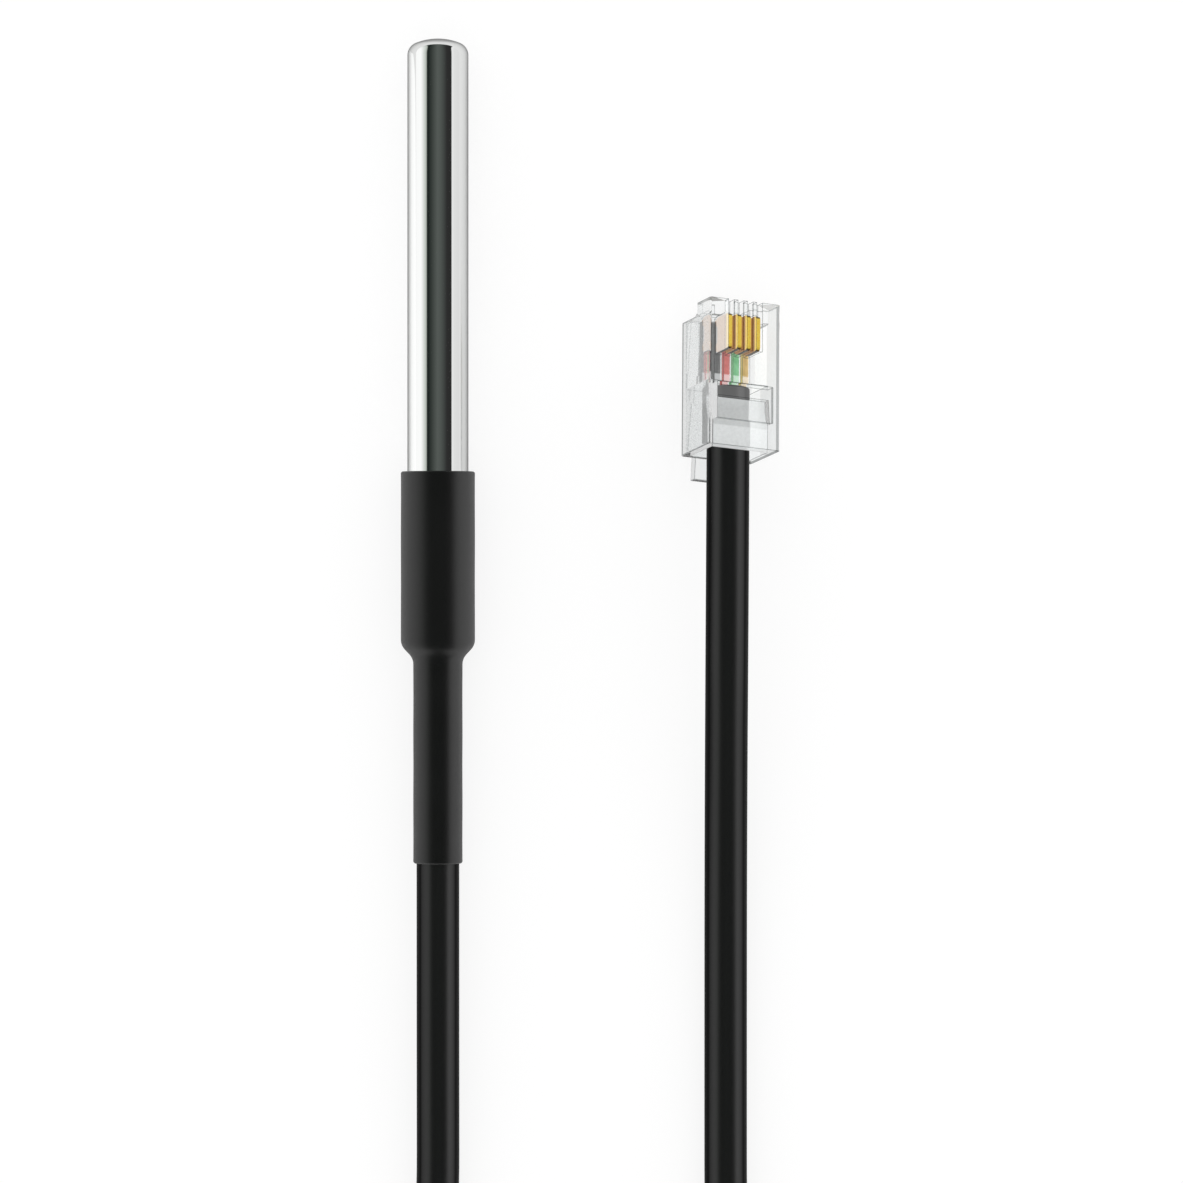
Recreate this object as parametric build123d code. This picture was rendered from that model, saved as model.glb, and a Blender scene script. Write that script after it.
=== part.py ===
from build123d import *
from math import asin, atan2, degrees, pi, radians, sqrt, tan
import os

# A potted temperature probe on a one metre round lead that ends in a clear 4-position modular plug.
# Millimetres. The probe lies along Y with its domed tip at +Y, and everything rests on Z = 0.
# The origin is under the middle of the probe, from its tip to the far end of its sleeve.

# Probe tube: drawn stainless steel with one closed, domed end
tube_diameter = 6.0
tube_wall = 0.3
tube_length = 60.0
crown_radius = 5.8
knuckle_radius = 1.3
bare_length = 42.55

# Heat-shrink sleeve over the tube's open end and the start of the lead
sleeve_length = 38.55
sleeve_wall_on_tube = 0.65
sleeve_wall_on_cable = 0.325
shoulder_lead = 0.95
shoulder_length = 2.5
adhesive_length = 1.25
sleeve_edge_round = 0.22

# Sensor element in a three-legged moulded package, its joints and its wires
package_diameter = 4.6
package_flat_depth = 1.3
package_height = 4.6
package_tip_gap = 1.3
lead_pitch = 1.27
lead_width = 0.45
lead_thickness = 0.4
lead_length = 9.0
joint_sleeve_wall = 0.15
joint_sleeve_length = 8.0
probe_wire_diameter = 0.9
potting_recess = 0.5

# Lead: round, four cores in a smooth jacket
cable_diameter = 4.2
cable_inside_tube = 7.45

# Hank of the put-away lead: flat turns, two side by side and two high, each fold a half circle
fold_radius = 13.3
hank_run = 63.0
hank_middle_x = 14.16
hank_fold_y = -118.0
entry_stub = 13.0
hank_edge_round = 1.9
tie_thickness = 0.6
tie_width = 4.0
tie_head_length = 5.0
tie_head_height = 2.4
tie_corner = 2.3

# Plug housing: one clear moulding, sizes of a 4-position modular plug
plug_width = 7.65
plug_length = 14.7
plug_top = 3.75
plug_bottom = -2.75
plug_edge_round = 0.3
nose_length = 1.3
nose_thickness = 3.15
plug_roll = 25.0

# Cable cavity and the bar that clamps the jacket
jacket_inside = 6.6
cavity_width = 6.0
cavity_top = 2.55
jacket_clearance = 0.15
cavity_end_gap = 0.1
window_start = 2.7
window_length = 3.6
window_width = 6.0
bar_length = 2.5
bar_foot = 1.0
bar_web = 0.65
bar_side_gap = 0.05
bar_touch_gap = 0.02

# Contacts and the wires that they pierce
contact_pitch = 1.02
contact_count = 4
blade_thickness = 0.45
blade_length = 3.5
blade_from_nose = 1.3
blade_recess = 0.3
blade_shoulder_height = 0.75
blade_corner = 0.4
tine_length = 0.95
tine_width = 1.0
blade_side_gap = 0.035
blade_end_gap = 0.15
comb_slot_width = 0.6
comb_slot_depth = 1.0
plug_wire_diameter = 0.8
plug_wire_gap = 0.03
wire_row_height = 0.0
wire_end_gap = 1.7

# Latch: a springy tongue that is part of the housing moulding
latch_thickness = 0.85
latch_root_gap = 0.4
latch_wide = 4.0
latch_narrow = 3.2
latch_shoulder_y = 8.5
latch_overhang = 1.75
latch_tail_z = -4.2
latch_root_z = -2.55
latch_bend = 0.45
latch_recess_width = 4.8
latch_recess_depth = 1.2
latch_recess_start = 5.5

tube_radius = tube_diameter / 2
cable_radius = cable_diameter / 2
axis_height = tube_radius + sleeve_wall_on_tube
tip_y = (bare_length + sleeve_length) / 2
sleeve_top_y = tip_y - bare_length
sleeve_end_y = sleeve_top_y - sleeve_length
tube_open_y = tip_y - tube_length
package_top_y = tip_y - tube_wall - package_tip_gap
package_base_y = package_top_y - package_height
lead_end_y = package_base_y - lead_length
lead_columns = [-lead_pitch, 0, lead_pitch]
cable_bottom_z = tie_thickness
outer_fold_radius = fold_radius + cable_diameter
low_layer_z = cable_bottom_z + cable_radius
high_layer_z = low_layer_z + cable_diameter
entry_x = hank_middle_x - outer_fold_radius
exit_x = hank_middle_x + outer_fold_radius
stub_y = hank_fold_y + entry_stub

# The lead's route in millimetres, from its end inside the probe to the hank
probe_route = [
    (0.0, tube_open_y + cable_inside_tube, axis_height),
    (0.0, -58.0, axis_height),
    (0.0, -80.0, 2.15),
    (-3.34, -94.0, 2.7),
    (-3.34, -105.0, 2.7),
]

# And from the hank to its end inside the plug, which sits on the last run
plug_route = [
    (31.66, -105.0, 6.9),
    (31.66, -93.0, 6.9),
    (28.32, -78.0, 2.5),
    (28.32, -50.0, 2.1),
    (28.32, -36.0, 3.3),
    (28.32, -14.8, 9.92),
    (28.52, 6.02, 5.49),
]


def turned(outline):
    """Solid of revolution about Y of an outline that is closed along or beside that axis"""
    return revolve(make_face(outline), Axis.Y, 360)


def domed_cylinder(radius, top_y, crown, knuckle, end_y):
    """Round bar with a crowned end, from its apex at top_y to a flat end at end_y"""
    crown_y = top_y - crown
    knuckle_x = radius - knuckle
    knuckle_y = crown_y + sqrt((crown - knuckle) ** 2 - knuckle_x ** 2)
    reach = crown / (crown - knuckle)
    touch = (knuckle_x * reach, crown_y + (knuckle_y - crown_y) * reach)
    cap = TangentArc((0, top_y), touch, tangent=(1, 0))
    corner = TangentArc(touch, (radius, knuckle_y), tangent=cap % 1)
    side = Polyline((radius, knuckle_y), (radius, end_y), (0, end_y), (0, top_y))
    return turned(cap + corner + side)


def round_bar(radius, low_y, high_y, x=0.0, z=0.0):
    """Cylinder along Y"""
    bar = Cylinder(radius, high_y - low_y, align=(Align.CENTER, Align.CENTER, Align.MIN))
    return Pos(x, low_y, z) * (Rot(-90, 0, 0) * bar)


def block(low, high):
    """Box between two corners"""
    size = [high[i] - low[i] for i in range(3)]
    middle = [(high[i] + low[i]) / 2 for i in range(3)]
    return Pos(*middle) * Box(*size)


def side_profile(points, width):
    """Prism of a profile in Y and Z, as wide as stated and centred on X = 0"""
    return extrude(Plane.YZ * make_face(Polyline(*points, close=True)), width / 2, both=True)


def s_curve(start, end):
    """Smooth step between two points (radius, y), tangent to the axis at both"""
    middle = (start[1] + end[1]) / 2
    return Bezier(start, (start[0], middle), (end[0], middle), end)


def on_probe_axis(piece):
    """Lifts a piece from the Y axis to the probe's axis"""
    return Pos(0, 0, axis_height) * piece


def probe_tube():
    outside = domed_cylinder(tube_radius, tip_y, crown_radius, knuckle_radius, tube_open_y)
    return on_probe_axis(outside - tube_bore(tube_open_y - 1))


def tube_bore(end_y):
    return domed_cylinder(
        tube_radius - tube_wall, tip_y - tube_wall, crown_radius - tube_wall,
        knuckle_radius - tube_wall, end_y)


def sleeve_bore_step():
    """The bore's step from the tube down to the lead, as start and end points"""
    return (tube_radius, tube_open_y), (cable_radius, tube_open_y - adhesive_length)


def outer_sleeve():
    big = tube_radius + sleeve_wall_on_tube
    small = cable_radius + sleeve_wall_on_cable
    edge = sleeve_edge_round
    shoulder_start = (big, tube_open_y + shoulder_lead)
    shoulder_end = (small, shoulder_start[1] - shoulder_length)
    bore_start, bore_end = sleeve_bore_step()
    outline = Line((tube_radius, sleeve_top_y), (big - edge, sleeve_top_y))
    outline += TangentArc((big - edge, sleeve_top_y), (big, sleeve_top_y - edge), tangent=(1, 0))
    outline += Line((big, sleeve_top_y - edge), shoulder_start)
    outline += s_curve(shoulder_start, shoulder_end)
    outline += Line(shoulder_end, (small, sleeve_end_y + edge))
    outline += TangentArc((small, sleeve_end_y + edge), (small - edge, sleeve_end_y), tangent=(0, -1))
    outline += Polyline((small - edge, sleeve_end_y), (cable_radius, sleeve_end_y), bore_end)
    outline += s_curve(bore_end, bore_start)
    outline += Line(bore_start, (tube_radius, sleeve_top_y))
    return on_probe_axis(turned(outline))


def sleeve_adhesive():
    """Melted liner that fills the sleeve's step round the lead"""
    bore_start, bore_end = sleeve_bore_step()
    outline = s_curve(bore_start, bore_end)
    outline += Polyline(bore_end, (cable_radius, tube_open_y), bore_start)
    return on_probe_axis(turned(outline))


def sensor_package():
    """Moulded body with one flat side"""
    radius = package_diameter / 2
    body = round_bar(radius, package_base_y, package_top_y)
    beyond = block((-radius, package_base_y, package_flat_depth), (radius, package_top_y, radius))
    return on_probe_axis(body - beyond)


def sensor_lead(x):
    half_width = lead_width / 2
    half_thickness = lead_thickness / 2
    return on_probe_axis(block(
        (x - half_width, lead_end_y, -half_thickness),
        (x + half_width, package_base_y, half_thickness)))


def joint_sleeve_ends():
    middle = lead_end_y
    return middle - joint_sleeve_length / 2, middle + joint_sleeve_length / 2


def joint_sleeve(x):
    """Thin insulating tube over the joint of a leg and its wire"""
    low, high = joint_sleeve_ends()
    bore = probe_wire_diameter / 2
    outside = round_bar(bore + joint_sleeve_wall, low, high, x)
    return on_probe_axis(outside - round_bar(bore, low, high, x))


def probe_wire(x):
    return on_probe_axis(round_bar(probe_wire_diameter / 2, probe_route[0][1], lead_end_y, x))


def potting_fill():
    """Resin that fills the tube round the element, its wires and the lead's end"""
    fill = on_probe_axis(tube_bore(tube_open_y + potting_recess))
    low, high = joint_sleeve_ends()
    outer = probe_wire_diameter / 2 + joint_sleeve_wall
    fill -= sensor_package()
    fill -= on_probe_axis(round_bar(cable_radius, tube_open_y, probe_route[0][1]))
    for x in lead_columns:
        fill -= sensor_lead(x)
        fill -= on_probe_axis(round_bar(outer, low, high, x))
        fill -= probe_wire(x)
    return fill


def route_radii(points):
    """Largest corner radii that the runs allow: 0.45 of the shorter run over tan of half the turn"""
    radii = []
    for before, here, after in zip(points, points[1:], points[2:]):
        run_in = Vector(*here) - Vector(*before)
        run_out = Vector(*after) - Vector(*here)
        half_turn = radians(run_in.get_angle(run_out)) / 2
        radii.append(0.45 * min(run_in.length, run_out.length) / tan(half_turn))
    return radii


def cable_run(name, points):
    """Round tube along straight runs and tangent arcs"""
    radii = route_radii(points)
    path = FilletPolyline(*points, radius=radii)
    tube = sweep(Plane(path @ 0, z_dir=path % 0) * Circle(cable_radius), path=path)
    expected = pi * cable_radius ** 2 * path.length
    print(name, "length", round(path.length, 1), "radii", [round(r, 1) for r in radii],
          "volume over section times length", round(tube.volume / expected, 4))
    return tube


def hank_ring(inner_radius, outer_radius, low_z, high_z):
    """Flat loop with two straight sides and half-round ends"""
    middle = Location((hank_middle_x, hank_fold_y - hank_run / 2, low_z), (0, 0, 90))
    outer = SlotCenterToCenter(hank_run, 2 * outer_radius)
    inner = SlotCenterToCenter(hank_run, 2 * inner_radius)
    return middle * extrude(outer - inner, high_z - low_z)


def cable_hank():
    """Outer shape of the folded turns, with the stubs where the lead enters and leaves it"""
    ring = hank_ring(
        fold_radius - cable_radius, outer_fold_radius + cable_radius,
        cable_bottom_z, cable_bottom_z + 2 * cable_diameter)
    rims = ring.faces().sort_by(Axis.Z)[0].edges() + ring.faces().sort_by(Axis.Z)[-1].edges()
    ring = fillet(rims, hank_edge_round)
    entry = round_bar(cable_radius, hank_fold_y - 1, stub_y, entry_x, low_layer_z)
    leaving = round_bar(cable_radius, hank_fold_y - 1, stub_y, exit_x, high_layer_z)
    return ring + entry + leaving


def hank_tie(x):
    """Strap round the four runs on one side of the hank, with its small buckle on top"""
    side = 2 * cable_diameter
    outer = side + 2 * tie_thickness
    tie_y = hank_fold_y - hank_run / 2
    across = Plane((x, tie_y, cable_bottom_z + cable_diameter), x_dir=(1, 0, 0), z_dir=(0, 1, 0))
    strap = RectangleRounded(outer, outer, tie_corner) - RectangleRounded(side, side, hank_edge_round)
    loop = extrude(across * strap, tie_width / 2, both=True)
    top_z = cable_bottom_z + side + tie_thickness
    head = block(
        (x - tie_head_length / 2, tie_y - tie_width / 2, top_z),
        (x + tie_head_length / 2, tie_y + tie_width / 2, top_z + tie_head_height))
    head = fillet(head.edges().filter_by(Axis.Y).sort_by(Axis.Z)[-2:], tie_thickness)
    return loop + head


def plug_place():
    """Placement of the plug's own frame: rear face at the origin, nose along +Y, contacts at +Z"""
    jacket_end = Vector(*plug_route[-1])
    along = (jacket_end - Vector(*plug_route[-2])).normalized()
    rear = jacket_end - along * jacket_inside
    turn = Rot(0, 0, degrees(atan2(-along.X, along.Y))) * Rot(degrees(asin(along.Z)), 0, 0)
    return Pos(*rear) * turn * Rot(0, plug_roll, 0)


def contact_columns():
    first = -contact_pitch * (contact_count - 1) / 2
    return [first + contact_pitch * i for i in range(contact_count)]


def blade_ends():
    high = plug_length - blade_from_nose
    return high - blade_length, high


def housing_body():
    step_y = plug_length - nose_length
    nose_z = plug_top - nose_thickness
    body = side_profile([
        (0, plug_bottom), (step_y, plug_bottom), (step_y, nose_z),
        (plug_length, nose_z), (plug_length, plug_top), (0, plug_top)], plug_width)
    return fillet(body.edges().filter_by(Axis.Y), plug_edge_round)


def cavity():
    """Room for the jacket, open at the rear"""
    half = cavity_width / 2
    floor = -cable_radius - jacket_clearance
    return block((-half, -1, floor), (half, jacket_inside + cavity_end_gap, cavity_top))


def clamp_window():
    half = window_width / 2
    return block((-half, window_start, cavity_top - 0.1), (half, window_start + window_length, plug_top + 1))


def clamp_bar():
    """Bar that leans in from the rear of its window and presses on the jacket"""
    hinge_y = window_start
    front_y = hinge_y + bar_length
    foot_z = cable_radius + bar_touch_gap
    web_top = cavity_top + bar_web
    return side_profile([
        (hinge_y - 0.1, web_top), (hinge_y - 0.1, cavity_top), (hinge_y, cavity_top),
        (front_y - bar_foot, foot_z), (front_y, foot_z), (front_y, web_top - 0.3)],
        window_width - 2 * bar_side_gap)


def contact_room(x):
    """Comb slot, blade slot and wire channel of one contact"""
    low, high = blade_ends()
    slot_half = comb_slot_width / 2
    blade_half = blade_thickness / 2 + blade_side_gap
    channel_half = plug_wire_diameter / 2 + plug_wire_gap
    comb = block((x - slot_half, low - blade_end_gap, plug_top - comb_slot_depth),
                 (x + slot_half, plug_length + 1, plug_top + 1))
    blade = block((x - blade_half, low - blade_end_gap, wire_row_height),
                  (x + blade_half, high + blade_end_gap, plug_top + 1))
    channel = block((x - channel_half, jacket_inside, wire_row_height - channel_half),
                    (x + channel_half, plug_length - wire_end_gap, wire_row_height + channel_half))
    return comb + blade + channel


def latch():
    """Tongue that springs from under the nose, turns back and reaches past the rear face"""
    root_front = plug_length
    root_back = plug_length - nose_length + latch_root_gap
    nose_z = plug_top - nose_thickness
    slope = (latch_root_z - latch_tail_z) / (plug_length + latch_overhang)
    tail_y = -latch_overhang
    under = latch_thickness
    inner_start_z = latch_root_z - slope * (plug_length - root_back)
    profile = side_profile([
        (root_front, nose_z + 0.1), (root_back, nose_z + 0.1), (root_back, inner_start_z),
        (tail_y, latch_tail_z), (tail_y, latch_tail_z - under), (root_front, latch_root_z - under)],
        latch_wide)
    corner = profile.edges().filter_by(Axis.X).group_by(Axis.Y)[-1].sort_by(Axis.Z)[0]
    profile = fillet(corner, latch_bend)
    trim = (latch_wide - latch_narrow) / 2
    for side in (-1, 1):
        edge = side * latch_wide / 2
        inner = side * (latch_wide / 2 - trim)
        profile -= block((min(edge, inner) - (side < 0), tail_y - 1, latch_tail_z - 2 * under),
                         (max(edge, inner) + (side > 0), latch_shoulder_y, plug_bottom + 2))
    return profile


def latch_recess():
    """Shallow ramp in the housing's underside that the tongue bends into"""
    step_y = plug_length - nose_length
    return side_profile([
        (latch_recess_start, plug_bottom), (step_y + 1, plug_bottom + latch_recess_depth),
        (step_y + 1, plug_bottom - 1), (latch_recess_start, plug_bottom - 1)], latch_recess_width)


def plug_housing():
    housing = housing_body() - cavity() - clamp_window() - latch_recess()
    for x in contact_columns():
        housing -= contact_room(x)
    return housing + clamp_bar() + latch()


def contact_blade(x):
    """Flat blade with rounded shoulders and two points that pierce the wire"""
    low, high = blade_ends()
    top = plug_top - blade_recess
    base = wire_row_height + blade_shoulder_height
    point = base - tine_length
    profile = Polyline(
        (low, base), (low, top), (high, top), (high, base),
        (high - tine_width / 2, point), (high - tine_width, base),
        (low + tine_width, base), (low + tine_width / 2, point), close=True)
    face = Plane.YZ * make_face(profile)
    blade = extrude(face, blade_thickness / 2, both=True)
    blade = fillet(blade.edges().filter_by(Axis.X).group_by(Axis.Z)[-1], blade_corner)
    return Pos(x, 0, 0) * blade


def plug_wire(x):
    wire = round_bar(plug_wire_diameter / 2, jacket_inside, plug_length - wire_end_gap, x, wire_row_height)
    return wire - contact_blade(x)


def save(name, piece):
    """Writes one node's STEP file"""
    piece.label = name
    export_step(piece, "parts/" + name + ".step")


def main():
    os.makedirs("parts", exist_ok=True)
    save("probe_tube", probe_tube())
    save("outer_sleeve", outer_sleeve())
    save("sleeve_adhesive", sleeve_adhesive())
    save("potting_fill", potting_fill())
    save("sensor_package", sensor_package())
    for x, colour, number in zip(lead_columns, ("black", "yellow", "red"), (1, 2, 3)):
        save("sensor_lead_" + str(number), sensor_lead(x))
        save("joint_sleeve_" + str(number), joint_sleeve(x))
        save("probe_wire_" + colour, probe_wire(x))
    save("cable_probe_run", cable_run("cable_probe_run", probe_route))
    save("cable_plug_run", cable_run("cable_plug_run", plug_route))
    save("cable_hank", cable_hank())
    side_offset = fold_radius + cable_radius
    ties = [hank_tie(hank_middle_x - side_offset), hank_tie(hank_middle_x + side_offset)]
    save("hank_ties", Compound(children=ties))
    place = plug_place()
    save("plug_housing", place * plug_housing())
    for x, colour, number in zip(contact_columns(), ("black", "red", "green", "yellow"), (1, 2, 3, 4)):
        save("contact_" + str(number), place * contact_blade(x))
        save("plug_wire_" + colour, place * plug_wire(x))


main()
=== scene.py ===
import bpy
import bmesh
from math import asin, atan2, cos, degrees, pi, radians, sin, sqrt
from mathutils import Matrix, Vector


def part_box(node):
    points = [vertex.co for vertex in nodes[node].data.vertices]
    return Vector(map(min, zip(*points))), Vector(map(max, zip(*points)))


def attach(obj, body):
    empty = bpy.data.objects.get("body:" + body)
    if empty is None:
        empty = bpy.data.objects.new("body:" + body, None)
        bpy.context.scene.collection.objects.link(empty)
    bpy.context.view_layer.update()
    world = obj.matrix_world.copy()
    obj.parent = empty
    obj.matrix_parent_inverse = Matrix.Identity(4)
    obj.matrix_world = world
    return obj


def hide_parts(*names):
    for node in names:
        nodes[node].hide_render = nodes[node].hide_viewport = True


# Temperature probe on a round lead that ends in a clear modular plug, seen from straight above.
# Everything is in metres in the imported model's frame: probe along Y, tip at +Y, floor at Z = 0.
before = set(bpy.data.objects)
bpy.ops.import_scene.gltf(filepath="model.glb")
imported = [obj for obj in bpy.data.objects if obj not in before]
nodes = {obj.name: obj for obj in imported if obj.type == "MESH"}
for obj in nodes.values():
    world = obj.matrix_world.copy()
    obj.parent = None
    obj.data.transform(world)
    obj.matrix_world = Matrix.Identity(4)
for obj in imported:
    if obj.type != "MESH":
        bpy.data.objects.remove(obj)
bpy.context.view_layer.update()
mm = 0.001
print("frame loaded:", len(nodes), "nodes")


def hexToLinear(code):
    channels = [int(code[i:i + 2], 16) / 255 for i in (1, 3, 5)]
    linear = [c / 12.92 if c <= 0.04045 else ((c + 0.055) / 1.055) ** 2.4 for c in channels]
    return (*linear, 1.0)


def addNode(tree, kind, settings=None, links=None):
    # settings go to a socket of that name or number, else to a property of the node
    node = tree.nodes.new(kind)
    for key, value in (settings or {}).items():
        if isinstance(key, int) or key in node.inputs:
            node.inputs[key].default_value = value
        else:
            setattr(node, key, value)
    for key, source in (links or {}).items():
        tree.links.new(source, node.inputs[key])
    return node


def newMaterial(name):
    material = bpy.data.materials.new(name)
    material.use_nodes = True
    tree = material.node_tree
    tree.nodes.clear()
    output = addNode(tree, "ShaderNodeOutputMaterial")
    place = addNode(tree, "ShaderNodeTexCoord").outputs["Object"]
    return material, tree, output, place


def patternScale(size):
    # of a texture whose marks are this many millimetres across
    return 1 / (size * mm)


def fillRamp(ramp, stops):
    # stops are (position, sRGB hex), lowest first
    elements = ramp.color_ramp.elements
    while len(elements) < len(stops):
        elements.new(0.5)  # anywhere, as its place is set below
    for element, (position, code) in zip(elements, stops):
        element.position = position
        element.color = hexToLinear(code)


def addPiece(name, data):
    piece = bpy.data.objects.new(name, data)
    bpy.context.scene.collection.objects.link(piece)
    return piece


def wear(piece, material):
    piece.data.materials.clear()
    piece.data.materials.append(material)


def wearNode(name, material):
    nodes[name].data.materials.clear()
    nodes[name].data.materials.append(material)


def plugPosition(tree, place, plug):
    # place in the frame of the matrix plug, as X, Y and Z
    inPlug = addNode(tree, "ShaderNodeMapping",
                     {"vector_type": "TEXTURE", "Location": plug.to_translation(), "Rotation": plug.to_euler()},
                     {"Vector": place})
    return addNode(tree, "ShaderNodeSeparateXYZ", None, {"Vector": inPlug.outputs["Vector"]}).outputs


def shineBySide(tree, left, right):
    # painted sheen: specular level that rises from the -X side of a round piece to its +X side, so one side reflects
    # more than the other
    normal = addNode(tree, "ShaderNodeNewGeometry").outputs["Normal"]
    across = addNode(tree, "ShaderNodeSeparateXYZ", None, {"Vector": normal}).outputs["X"]
    level = addNode(tree, "ShaderNodeMapRange", {"From Min": -0.5, "From Max": 0.8, "To Min": left, "To Max": right},
                    {"Value": across})
    return level.outputs["Result"]


# Materials

def polishedStainless():
    # 304 stainless, drawn and mirror polished: a bright, nearly clean mirror with faint draw lines along it.
    # They are fifty times as long as wide, and wider than the real ones, so that they show
    material, tree, output, place = newMaterial("polishedStainless")
    drawLines = addNode(tree, "ShaderNodeMapping", {"Scale": (1.0, 0.02, 1.0)}, {"Vector": place})
    lines = addNode(tree, "ShaderNodeTexNoise", {"Scale": patternScale(0.25), "Detail": 3.0},
                    {"Vector": drawLines.outputs["Vector"]})
    haze = addNode(tree, "ShaderNodeTexNoise", {"Scale": patternScale(6.0), "Detail": 4.0}, {"Vector": place})
    roughness = addNode(tree, "ShaderNodeMapRange", {"To Min": 0.035, "To Max": 0.075},
                        {"Value": haze.outputs["Fac"]})
    bump = addNode(tree, "ShaderNodeBump", {"Strength": 0.02, "Distance": 0.01 * mm},
                   {"Height": lines.outputs["Fac"]})
    metal = addNode(tree, "ShaderNodeBsdfPrincipled",
                    {"Base Color": hexToLinear("#FAFBFA"), "Specular Tint": hexToLinear("#A4A4A4"), "Metallic": 1.0},
                    {"Roughness": roughness.outputs["Result"], "Normal": bump.outputs["Normal"]})
    tree.links.new(metal.outputs["BSDF"], output.inputs["Surface"])
    return material


def heatShrink():
    # Polyolefin heat-shrink, extruded and recovered with hot air: soft matte black with a faint orange peel,
    # a little coarser than the real one, so that it shows
    material, tree, output, place = newMaterial("recoveredHeatShrink")
    peel = addNode(tree, "ShaderNodeTexNoise", {"Scale": patternScale(0.35), "Detail": 5.0}, {"Vector": place})
    wave = addNode(tree, "ShaderNodeTexNoise", {"Scale": patternScale(5.0), "Detail": 2.0}, {"Vector": place})
    tone = addNode(tree, "ShaderNodeValToRGB", None, {"Fac": wave.outputs["Fac"]})
    fillRamp(tone, [(0.3, "#070707"), (0.7, "#0C0C0C")])
    roughness = addNode(tree, "ShaderNodeMapRange", {"To Min": 0.36, "To Max": 0.46},
                        {"Value": peel.outputs["Fac"]})
    bump = addNode(tree, "ShaderNodeBump", {"Strength": 0.12, "Distance": 0.03 * mm},
                   {"Height": peel.outputs["Fac"]})
    # painted sheen: the sleeve reflects more on its +X side than on its -X side
    body = addNode(tree, "ShaderNodeBsdfPrincipled", {"IOR": 1.51},
                   {"Base Color": tone.outputs["Color"], "Roughness": roughness.outputs["Result"],
                    "Normal": bump.outputs["Normal"], "Specular IOR Level": shineBySide(tree, 0.58, 1.0)})
    tree.links.new(body.outputs["BSDF"], output.inputs["Surface"])
    return material


def jacketPvc(litFrom, litFull):
    # Plasticised PVC, extruded: smooth black skin with a soft gloss, with painted shade that takes its reflection
    # away where it turns away at its sides, and a painted sheen that is stronger on its +X side.
    # From litFrom to litFull along Y it has a painted glow that stands in for the light the clear plug round its end
    # gives it
    material, tree, output, place = newMaterial("extrudedPvcJacket")
    grain = addNode(tree, "ShaderNodeTexNoise", {"Scale": patternScale(0.5), "Detail": 4.0}, {"Vector": place})
    roughness = addNode(tree, "ShaderNodeMapRange", {"To Min": 0.33, "To Max": 0.4},
                        {"Value": grain.outputs["Fac"]})
    bump = addNode(tree, "ShaderNodeBump", {"Strength": 0.06, "Distance": 0.02 * mm},
                   {"Height": grain.outputs["Fac"]})
    # painted shade: the reflection is taken away where the jacket turns away at its sides
    facing = addNode(tree, "ShaderNodeLayerWeight", {"Blend": 0.5}).outputs["Facing"]
    paintedEdgeShade = addNode(tree, "ShaderNodeMapRange", {"From Min": 0.1, "From Max": 0.42, "To Min": 1.0, "To Max": 0.03},
                       {"Value": facing})
    paintedSheen = addNode(tree, "ShaderNodeMath", {"operation": "MULTIPLY"},
                    {0: shineBySide(tree, 0.62, 1.3), 1: paintedEdgeShade.outputs["Result"]})
    # painted glow: grey emission that rises along Y where the jacket lies in the clear plug
    along = addNode(tree, "ShaderNodeSeparateXYZ", None, {"Vector": place}).outputs["Y"]
    inPlug = addNode(tree, "ShaderNodeMapRange", {"From Min": litFrom, "From Max": litFull}, {"Value": along})
    body = addNode(tree, "ShaderNodeBsdfPrincipled",
                   {"Base Color": hexToLinear("#0C0C0C"), "IOR": 1.53, "Emission Color": hexToLinear("#606060")},
                   {"Roughness": roughness.outputs["Result"], "Normal": bump.outputs["Normal"],
                    "Specular IOR Level": paintedSheen.outputs["Value"], "Emission Strength": inPlug.outputs["Result"]})
    tree.links.new(body.outputs["BSDF"], output.inputs["Surface"])
    return material


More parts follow.
